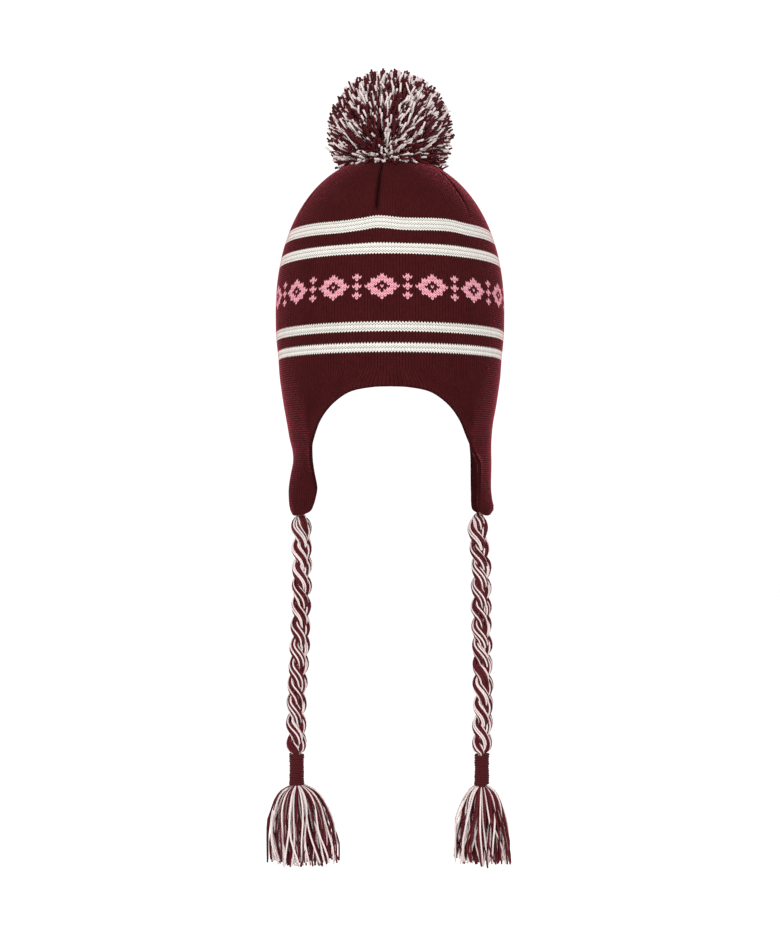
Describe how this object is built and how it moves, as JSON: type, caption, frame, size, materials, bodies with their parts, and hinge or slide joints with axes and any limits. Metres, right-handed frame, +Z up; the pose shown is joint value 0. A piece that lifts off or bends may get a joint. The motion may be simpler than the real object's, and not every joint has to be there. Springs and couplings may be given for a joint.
{
  "type": "earflap beanie with pompom and plaited ties",
  "caption": "Knitted earflap beanie with a striped crown, a cut-yarn pompom on top and a plaited tie with a wound wrap and a tassel under each flap.",
  "frame": {"origin": "middle of the head opening, level with the brim at the centre front; a head comes in there from below", "axes": "+Z up, towards the pompom; the face side is -Y; +X is to the right of someone looking at the front"},
  "size_m": [0.1972, 0.2054, 0.6386],
  "materials": {
    "knit": "burgundy acrylic knit with off-white stripes and a pink band of small figures",
    "pompom_yarn": "cut burgundy and off-white acrylic yarn, mixed",
    "plait_yarn": "burgundy and off-white acrylic yarn, plaited",
    "wrap_yarn": "burgundy acrylic yarn, wound",
    "tassel_yarn": "burgundy and off-white acrylic yarn, cut"
  },
  "bodies": {
    "root": {"knit_body": "knit", "pompom": "pompom_yarn", "braid_left": "plait_yarn", "braid_right": "plait_yarn", "wrap_left": "wrap_yarn", "wrap_right": "wrap_yarn", "tassel_left": "tassel_yarn", "tassel_right": "tassel_yarn"}
  },
  "joints": []
}
